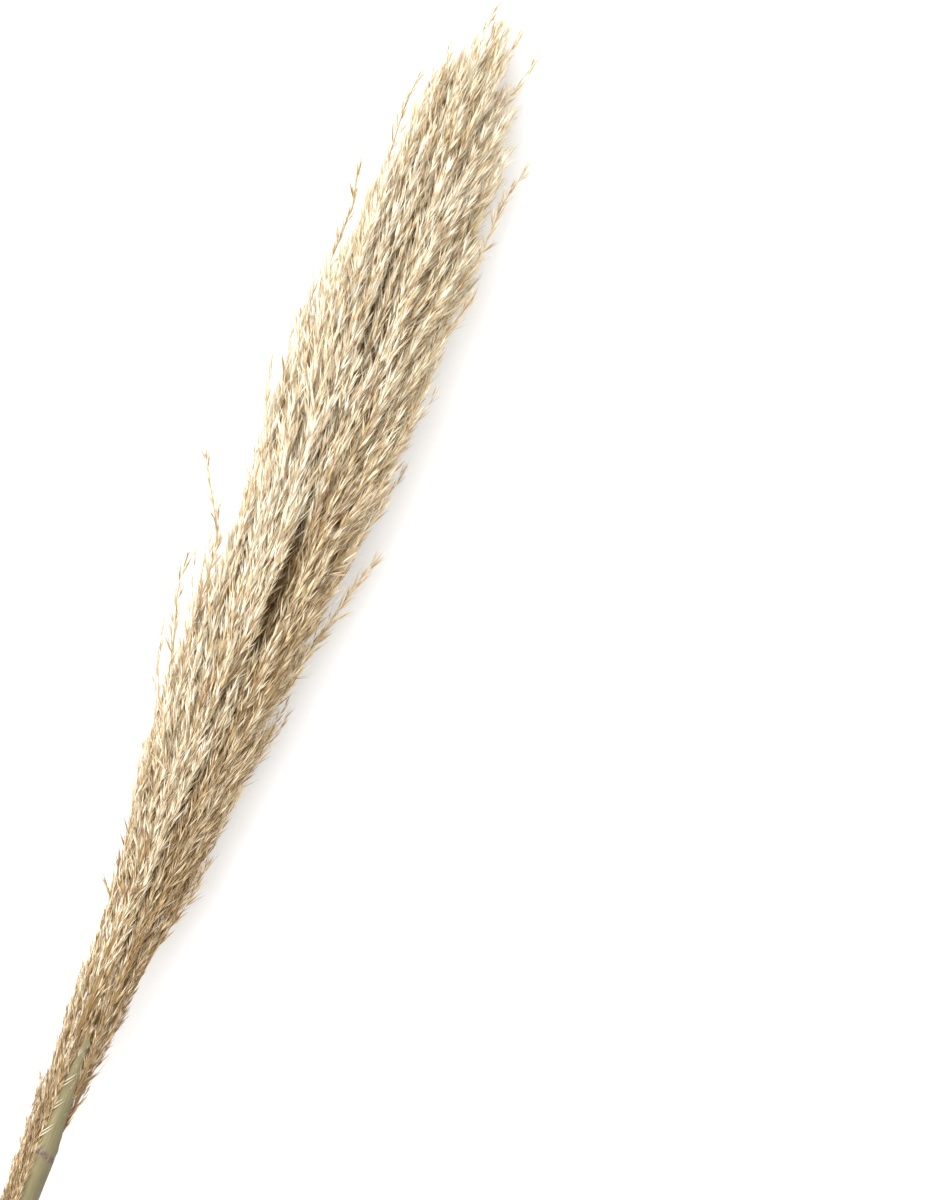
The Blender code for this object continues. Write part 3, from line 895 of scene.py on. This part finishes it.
heaps = [Heap() for _ in BRANCHES]
for grow in (grow_core, grow_rachis_spikelets, grow_tufts, grow_last_ears, grow_free_ends,
             grow_wisps, grow_fibres):
    grow(heaps)


def settle(piece, node):
    """Puts a piece on the reed's one body, in its CAD node's place."""
    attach(piece, "root")
    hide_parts(node)


for name, heap in zip(BRANCHES, heaps):
    settle(heap.piece("plume_" + name, plume_look), name)

# ---------------- thin branches at the foot

LOW_SPREADS = 26  # branchlets on each thin branch
LOW_TINT, LOW_SCATTER = 4.2, 2.4


def grow_low(name):
    """A thin branch at the plume's foot, with branchlets that lie close along the leaf."""
    heap = Heap()
    line = ring_means(name)
    middle = line[len(line) // 2]
    centre = math.atan2(middle[2] - axis_z(middle[0] - COLLAR), middle[1] - axis_y(middle[0] - COLLAR))
    start, end = line[0, 0] - COLLAR, line[-1, 0] - COLLAR
    axis = place(line[:, 0] - COLLAR, 0.0, 0.0)
    line = axis + (line - axis) * np.linspace(1.0, 0.76, len(line))[:, None]
    line[0] = axis[0] + (line[0] - axis[0]) * 0.7
    add_strand(heap, line, 0.0030, 0.0060, 0.34, 4.0, 3, 1, bare=0.04)
    for i in range(LOW_SPREADS):
        share = (i + rng.uniform(0, 1)) / LOW_SPREADS
        tip_u = start + 0.022 + share * (end - start)
        angle = centre + rng.uniform(-0.45, 0.75)
        reach = cane_edge(tip_u) + rng.uniform(0.0002, 0.0046) * np.interp(share, [0, 0.6], [0.5, 1])
        root_u = tip_u - rng.uniform(0.024, 0.036)
        root = place(max(root_u, start), angle, cane_edge(max(root_u, start)) - 0.0010)
        middle_u = (root_u + tip_u) / 2
        path = bezier(root, place(middle_u, angle, cane_edge(middle_u) + 0.0008),
                      place(tip_u - 0.006, angle, (cane_edge(tip_u) + reach) / 2),
                      place(tip_u, angle + rng.normal(0, 0.1), reach),
                      np.linspace(0, 1, STRAND_POINTS))
        add_strand(heap, path, 0.0026, rng.uniform(0.0054, 0.0070), rng.uniform(0.16, 0.34),
                   LOW_TINT + rng.normal(0, LOW_SCATTER), 3, 1, bare=0.15, stalk=0.22 * MM)
    return heap


# Pale bracts that lie across the blade: where they start, to the left, and their lengths.
CROSSING_BRACTS = ((0.002, 0.0040, 0.0100), (0.014, 0.0034, 0.0080), (0.024, 0.0030, 0.0092))
CROSSING_LEAN = math.radians(35)
CROSSING_TINT = 13.0
CROSSING_HEIGHT = 0.0022  # above the leaf


def add_crossing_bracts(heap):
    for u, left, length in CROSSING_BRACTS:
        for shift in (0.0, 0.0018):
            height = cane_edge(u) + CROSSING_HEIGHT
            base = np.array([[COLLAR + u + shift, axis_y(u) + left, axis_z(u) + height * 0.86]])
            along = np.array([[math.cos(CROSSING_LEAN), -math.sin(CROSSING_LEAN), 0.10]])
            lean = turned(unit(along), np.array([[0.0, 0.0, 1.0]]), rng.uniform(-0.04, 0.06, 1))
            add_darts(heap, BLADE_ROWS, base, lean, across(lean, np.array([[0.0, 0.2, 1.0]])),
                      np.array([length * rng.uniform(0.8, 1.05)]), np.array([0.20 * MM]),
                      np.array([0.12 * MM]), 0.0, np.array([CROSSING_TINT]))


for name in LOW_BRANCHES:
    heap = grow_low(name)
    if name == LOW_BRANCHES[0]:
        add_crossing_bracts(heap)
    settle(heap.piece("plume_" + name, plume_look), name)

# ---------------- cane and leaves

ROUND = 48  # columns round the cane
SHARP = math.radians(50)


def profile(name):
    """For each section of a node: u, its least and greatest radius, and the half angle it spans."""
    points = node_points(name)
    places = np.round(points[:, 0], 4)
    rows = []
    for x in np.unique(places):
        ring = points[places == x]
        across_y, across_z = ring[:, 1] - axis_y(x - COLLAR), ring[:, 2] - axis_z(x - COLLAR)
        radius = np.hypot(across_y, across_z)
        off_top = np.arctan2(across_z, across_y) - math.pi / 2
        half = np.abs(np.remainder(off_top + math.pi, FULL_TURN) - math.pi).max()
        rows.append([x - COLLAR, radius.min(), radius.max(), half])
    return np.array(rows)


def skin(name, rings, materials, cap="fan", cut_rows=()):
    """A closed mesh through rings of points. Faces between cut rows take the second material."""
    rows, m = len(rings), len(rings[0])
    points = [tuple(point) for ring in rings for point in ring]
    faces, maps, cut = [], [], []

    def face(corners, spots, is_cut):
        faces.append(corners)
        maps.extend((along, j / m) for along, j in spots)
        cut.append(int(is_cut))

    along = [(row + 1) / (rows + 1) for row in range(rows)]
    for i in range(rows - 1):
        for j in range(m):
            a, b = i * m + j, i * m + (j + 1) % m
            low, high = along[i:i + 2]
            face((a, b, b + m, a + m), ((low, j), (low, j + 1), (high, j + 1), (high, j)), i in cut_rows)
    for row, end in ((0, 0.0), (rows - 1, 1.0)):
        first, inner = row * m, along[row]
        if cap == "fan":
            points.append(tuple(np.mean(rings[row], axis=0)))
            for j in range(m):
                face((len(points) - 1, first + j, first + (j + 1) % m),
                     ((end, j + 0.5), (inner, j), (inner, j + 1)), bool(cut_rows))
        else:
            for j in range(m // 2 - 1):
                face((first + j, first + j + 1, first + m - 2 - j, first + m - 1 - j),
                     ((end, j), (end, j + 1), (inner, j + 1), (inner, j)), False)
    mesh = bpy.data.meshes.new(name)
    mesh.from_pydata(points, [], faces)
    layer = mesh.uv_layers.new(name=UV_MAP)
    layer.data.foreach_set("uv", np.array(maps, np.float32).ravel())
    mesh.polygons.foreach_set("material_index", cut)
    for material in materials:
        mesh.materials.append(material)
    mesh.shade_smooth()
    work = bmesh.new()
    work.from_mesh(mesh)
    bmesh.ops.recalc_face_normals(work, faces=work.faces)
    work.to_mesh(mesh)
    work.free()
    mesh.set_sharp_from_angle(angle=SHARP)
    return linked(name, mesh)


COLLAR_SLANT = -0.28  # the mottled line at the collar crosses the leaf at a slant
LEAF_FOOT = 0.0680  # from the collar back to the scar at the leaf's foot


def cane_material():
    """Straw skin with fine grooves, and at each node a brown ring and a waxy band below it."""
    m = Nodes("Cane")
    where = m.where()
    along = m.axes(where)["X"]
    streaks = m.noise(where, (14, 900, 900), 5.0, 0.6)
    patches = m.noise(where, (9, 60, 60))
    straw = m.shades(streaks, (0.28, 174, 156, 114), (0.50, 196, 180, 143), (0.72, 212, 199, 166))
    colour = m.mix(m.mask(patches, (0.35, 0), (0.7, 0.5)), straw, srgb(180, 174, 132))
    for node in CANE_NODES:
        below = m.math("SUBTRACT", COLLAR + node, along)
        off = m.math("ABSOLUTE", below)
        ring = m.mask(m.math("MULTIPLY", off, 100.0), (0.0, 1), (0.10, 0.85), (0.16, 0))
        colour = m.mix(ring, colour, srgb(142, 114, 76))
        wax = m.mask(m.math("MULTIPLY", below, 60.0), (0.05, 0), (0.14, 0.7), (0.45, 0))
        colour = m.mix(wax, colour, srgb(218, 214, 200))
    return m.finish(colour, m.math("MULTIPLY_ADD", streaks, 0.22, 0.30), streaks, 0.35, 0.00025)


def cut_material():
    """The cut end's pale pith with darker pores."""
    m = Nodes("Cut_end")
    where = m.where()
    pores = m.add("ShaderNodeTexVoronoi", {"Vector": where, "Scale": 2600.0}).outputs["Distance"]
    pith = m.shades(m.noise(where, (900, 900, 900), 4.0), (0.3, 178, 154, 110), (0.7, 204, 188, 150))
    colour = m.mix(m.mask(pores, (0.18, 1), (0.34, 0)), pith, srgb(124, 94, 56))
    return m.finish(colour, 0.85, pores, 0.5, 0.0003)


def leaf_material():
    """The green leaf: veins, a scar at its foot, a mottled purple line at its collar, painted shade on its
    right side and painted light left of its middle.
    """
    m = Nodes("Green_leaf")
    where = m.where()
    axes = m.axes(where)
    along, left = axes["X"], axes["Y"]
    veins = m.noise(m.uv(), (6.0, 90.0, 1.0), 4.0, 0.6)
    patches = m.noise(where, (60, 160, 160))
    green = m.shades(veins, (0.22, 108, 102, 72), (0.50, 127, 119, 86), (0.78, 145, 137, 103))
    green = m.mix(m.mask(patches, (0.40, 0), (0.72, 0.55)), green, srgb(154, 141, 106))
    wave = m.math("MULTIPLY", m.math("SUBTRACT", patches, 0.5), 0.006)
    slant = m.math("MULTIPLY_ADD", left, COLLAR_SLANT, along)
    off = m.math("ABSOLUTE", m.math("ADD", m.math("SUBTRACT", slant, COLLAR - 0.0012), wave))
    line = m.mask(m.math("MULTIPLY", off, 250.0), (0.0, 0.50), (0.16, 1.0), (0.32, 0.35), (0.70, 0))
    mottled = m.noise(where, (500, 700, 700))
    purple = m.shades(mottled, (0.36, 88, 68, 66), (0.50, 116, 94, 88), (0.64, 150, 132, 114))
    # Painted light and shade: lighter left of the middle, darker towards the right edge, away from the
    # light.
    rightward = m.math("MULTIPLY_ADD", left, -75.0, 0.5 + 75.0 * float(axis_y(0.0)))
    shade = m.ramp(rightward, [(0.20, (1.1, 1.1, 1.08)), (0.40, (1.14, 1.14, 1.12)), (0.56, (1, 1, 1)),
                               (0.76, (0.78, 0.76, 0.74)), (0.94, (0.46, 0.44, 0.42))])
    colour = m.mix(1.0, m.mix(line, green, purple), shade, "MULTIPLY")
    from_foot = m.math("MULTIPLY", m.math("SUBTRACT", along, COLLAR - LEAF_FOOT), 120.0)
    scar = m.mask(from_foot, (0.0, 0.8), (0.10, 0.5), (0.26, 0))
    colour = m.mix(scar, colour, srgb(186, 160, 118))
    return m.finish(colour, m.math("MULTIPLY_ADD", veins, 0.2, 0.40), veins, 0.3)


def sheath_material():
    """The old sheath: papery, ribbed, and stained in patches."""
    m = Nodes("Dry_sheath")
    veins = m.noise(m.uv(), (5.0, 120.0, 1.0), 5.0, 0.65)
    stains = m.noise(m.where(), (28, 140, 140), 5.0, 0.6)
    papery = m.shades(veins, (0.28, 148, 129, 94), (0.50, 184, 167, 130), (0.72, 206, 192, 160))
    colour = m.mix(m.mask(stains, (0.48, 0), (0.66, 0.65)), papery, srgb(128, 110, 88))
    return m.finish(colour, m.math("MULTIPLY_ADD", veins, 0.2, 0.50), veins, 0.6, 0.0003)


def stalk_material():
    """The plume's main stalk, brown and streaked."""
    m = Nodes("Main_stalk")
    streaks = m.noise(m.where(), (20, 900, 900), 4.0)
    colour = m.shades(streaks, (0.3, 112, 90, 56), (0.7, 164, 140, 94))
    return m.finish(colour, 0.75, streaks, 0.4, 0.0003)


cane_profile = profile("cane")


def find_cane_nodes():
    """The cane's swollen nodes: the sections that stand above their neighbours."""
    outer = cane_profile[:, [0, 2]]
    outer = outer[outer[:, 0] > outer[0, 0] + 0.0001]
    return [float(here[0]) for before, here, after in zip(outer, outer[1:], outer[2:])
            if here[1] > max(before[1], after[1]) + 0.0002]


CANE_NODES = find_cane_nodes()


CANE_STEP = 0.008
NODE_REACH, NODE_STEP = 0.006, 0.0005  # rings are set this close on both sides of a node
NODE_RIDGE, NODE_GROOVE = 0.00005, 0.00016  # the node's ring, and the groove on its upper side
WIDEST_BORE = 0.0049
# Past the collar the cane tapers into the main stalk: u and radius.
CANE_TAPER = ((0.0006, 0.0056), (0.0014, 0.0050), (0.0024, 0.0041), (0.0034, 0.0034))


def cane_rings():
    """Rings from the collar to the butt, round its rim, and up the bore to the diaphragm."""
    butt, bore = cane_profile[0, :2]
    bore_end = min(u for u, low, _, _ in cane_profile if u > butt + 0.001 and low < WIDEST_BORE)
    places = set(np.round(np.arange(butt, cane_profile[-1, 0], CANE_STEP), 5)) | {cane_profile[-1, 0]}
    for node in CANE_NODES:
        places |= set(np.round(node + np.arange(-NODE_REACH, NODE_REACH + 0.0001, NODE_STEP), 5))
    turn = FULL_TURN * np.arange(ROUND) / ROUND
    outer = cane_profile[cane_profile[:, 2] > WIDEST_BORE]
    rings = []
    for u in sorted((value for value in places if value >= butt), reverse=True):
        radius = np.interp(u, outer[:, 0], outer[:, 2])
        for node in CANE_NODES:
            off = (u - node) / 0.001
            radius += NODE_RIDGE * math.exp(-off * off) - NODE_GROOVE * math.exp(-(off - 2.2) ** 2)
        ribs = 1 + 0.004 * np.sin(turn * 9 + 2 * math.sin(u * 30))
        rings.append(place(u, turn, radius * ribs))
    for beyond, radius in CANE_TAPER:
        rings.insert(0, place(beyond, turn, radius * (1 + 0.03 * np.sin(turn * 5))))
    cut_from = len(rings) - 1
    rim = outer[0, 2]
    rings[-1] = place(butt + 0.0004, turn, rim)
    for u, radius in ((butt, rim - 0.0003), (butt, bore + 0.0002), (butt + 0.0003, bore),
                      (bore_end - 0.001, bore * 0.99), (bore_end, bore * 0.9)):
        rings.append(place(u, turn, radius * (1 + 0.01 * np.sin(turn * 7))))
    return rings, range(cut_from, len(rings) + 1)


rings, cut_rows = cane_rings()
settle(skin("reed_cane", rings, (cane_material(), cut_material()), "fan", cut_rows), "cane")


LEAF_COLUMNS = 65
LEAF_WALL = 0.00035


def leaf_rings(rows):
    """A leaf's rings, each up its outer side and back down its inner side."""
    rings = []
    for u_line, middle, half, inner in rows:
        turn = middle + half * np.linspace(-1, 1, LEAF_COLUMNS)
        u = u_line(turn)
        outside = place(u, turn, inner(u, turn) + LEAF_WALL)
        inside = place(u, turn, inner(u, turn))
        rings.append(np.concatenate([outside, inside[::-1]]))
    return rings


LEAF_STEP = 0.0012
SHEATH_HALF = math.pi * 0.995  # the old sheath goes nearly all the way round


def make_flag_leaf():
    """The uppermost leaf: its sheath round the cane, and its blade on the plume's foot."""
    shape = profile("flag_leaf")
    rows = []
    for u in np.arange(shape[0, 0] - 0.0042, shape[-1, 0], LEAF_STEP):
        half = float(np.interp(u, shape[:, 0], shape[:, 3]))
        half *= 1 + 0.015 * math.sin(u * 420) + 0.01 * math.sin(u * 1130 + 1)

        def line(turn, u=u):
            foot = 0.0014 * np.sin(turn * 3 + 0.8) + 0.0006 * np.sin(turn * 8)
            return u + foot * np.clip((shape[0, 0] + 0.006 - u) / 0.010, 0, 1)

        def inner(place_u, turn):
            radius = np.interp(place_u, shape[:, 0], shape[:, 1])
            pleats = 0.00005 * np.sin(turn * 26) + 0.00003 * np.sin(turn * 61)
            swell = 0.00035 * np.exp(-((place_u + 0.0005) / 0.0016) ** 2)
            keel = 0.0005 * np.exp(-((turn - math.pi / 2) / 0.30) ** 2) * np.clip(place_u / 0.012, 0, 1)
            return radius + 0.0001 + swell + (pleats + keel) * np.clip((place_u + 0.02) / 0.02, 0.4, 1)

        rows.append((line, math.pi / 2, half, inner))
    return skin("flag_leaf_and_blade", leaf_rings(rows), (leaf_material(),), "strip")


MOUTH_SLANT = 0.022
SHEATH_GAP = 0.00030  # between the old sheath and the cane
CURL_FROM = 0.965  # of its length: the mouth's edge curls out past this


def make_lower_sheath():
    """The old sheath round the cane's foot, with a torn, slanting mouth and a lapped margin."""
    shape = profile("lower_leaf_sheath")
    start, end = shape[0, 0], shape[-1, 0]
    points = node_points("lower_leaf_sheath")
    longest = points[points[:, 0].argmax()]
    longest_at = math.atan2(longest[2] - axis_z(end), longest[1] - axis_y(end))
    rows = []
    for share in np.concatenate([np.linspace(0, 0.96, 60), np.linspace(CURL_FROM, 1, 8)]):

        def line(turn, share=share):
            mouth = end - MOUTH_SLANT * (1 - np.cos(turn - longest_at)) / 2
            torn = 0.0010 * np.sin(turn * 5) + 0.0008 * np.sin(turn * 13 + 1) - 0.0012
            return start + (mouth + torn - start) * share

        def inner(place_u, turn, share=share):
            cane = np.interp(place_u, cane_profile[:, 0], cane_profile[:, 2])
            lap = 0.00030 * np.clip((turn - longest_at - 2.2) / 0.6, 0, 1)
            ribs = 0.00005 * np.sin(turn * 30)
            curled = np.clip((share - CURL_FROM) / (1 - CURL_FROM), 0, 1)
            curl = 0.0004 * curled * (1 + np.sin(turn * 4)) / 2
            return cane + SHEATH_GAP + lap + ribs + curl

        rows.append((line, longest_at, SHEATH_HALF, inner))
    return skin("lower_sheath", leaf_rings(rows), (sheath_material(),), "strip")


STALK_SIDES = 16
STALK_SHARE = 0.72  # of the CAD stalk's radius, which allows for the branches' feet


def make_main_stalk():
    """The plume's main stalk, with five shallow ribs that twist along it."""
    shape = profile("rachis")
    turn = FULL_TURN * np.arange(STALK_SIDES) / STALK_SIDES
    rings = []
    for u in np.arange(shape[0, 0] + 0.0003, shape[-1, 0], OUTLINE_STEP):
        radius = STALK_SHARE * np.interp(u, shape[:, 0], shape[:, 2])
        rings.append(place(u, turn, radius * (1 + 0.06 * np.sin(turn * 5 + u * 90))))
    return skin("main_stalk", rings, (stalk_material(),), "fan")


settle(make_flag_leaf(), "flag_leaf")
settle(make_lower_sheath(), "lower_leaf_sheath")
settle(make_main_stalk(), "rachis")

# ---------------- floor, light and camera


FLOOR_SIZE = 14
FLOOR_GREY = 0.95
WORLD_LIGHT = 1.24


def make_floor():
    bpy.ops.mesh.primitive_plane_add(size=FLOOR_SIZE)
    floor = bpy.context.object
    floor.name = "floor"
    m = Nodes("Floor")
    m.put(m.shader, {"Base Color": (FLOOR_GREY,) * 3, "Roughness": 0.9, "Specular IOR Level": 0.1})
    floor.data.materials.append(m.material)


def area_light(name, position, target, size, watts):
    data = bpy.data.lights.new(name, "AREA")
    data.shape = "RECTANGLE"
    data.size, data.size_y = size, size
    data.energy = watts
    light = linked(name, data)
    light.location = position
    aim = Vector(target) - Vector(position)
    light.rotation_euler = aim.to_track_quat("-Z", "Y").to_euler()


def make_world(strength):
    world = bpy.data.worlds.new("world")
    bpy.context.scene.world = world
    world.use_nodes = True
    background = world.node_tree.nodes["Background"]
    background.inputs["Color"].default_value = (1, 1, 1, 1)
    background.inputs["Strength"].default_value = strength


VIEW_ROLL = math.radians(22.1)
VIEW_HEIGHT = 1.333
VIEW_ALONG, VIEW_RIGHT, VIEW_BACK = 0.2667, 0.0719, 0.0022  # from the collar to the middle of the view
LENS, SENSOR = 100, 36


def make_camera():
    """Straight down, turned so that the reed leans as far over as the close view shows."""
    data = bpy.data.cameras.new("camera")
    data.lens = LENS
    data.sensor_fit = "VERTICAL"
    data.sensor_height = SENSOR
    camera = linked("camera", data)
    up = Vector((math.cos(VIEW_ROLL), math.sin(VIEW_ROLL), 0))
    aim = Vector((COLLAR + VIEW_ALONG, float(axis_y(0.2)) - VIEW_RIGHT, 0.02)) - VIEW_BACK * up
    right = Vector((math.sin(VIEW_ROLL), -math.cos(VIEW_ROLL), 0))
    matrix = Matrix((right, up, right.cross(up))).transposed().to_4x4()
    matrix.translation = aim + Vector((0, 0, VIEW_HEIGHT))
    camera.matrix_world = matrix
    bpy.context.scene.camera = camera


make_floor()
make_world(WORLD_LIGHT)
area_light("key", (0.3, 1.9, 1.9), (0.25, 0, 0), 2.2, 58)
area_light("top", (0.5, 0.5, 3.0), (0.2, 0, 0), 2.5, 14)
make_camera()
bpy.context.scene.view_settings.view_transform = "Standard"
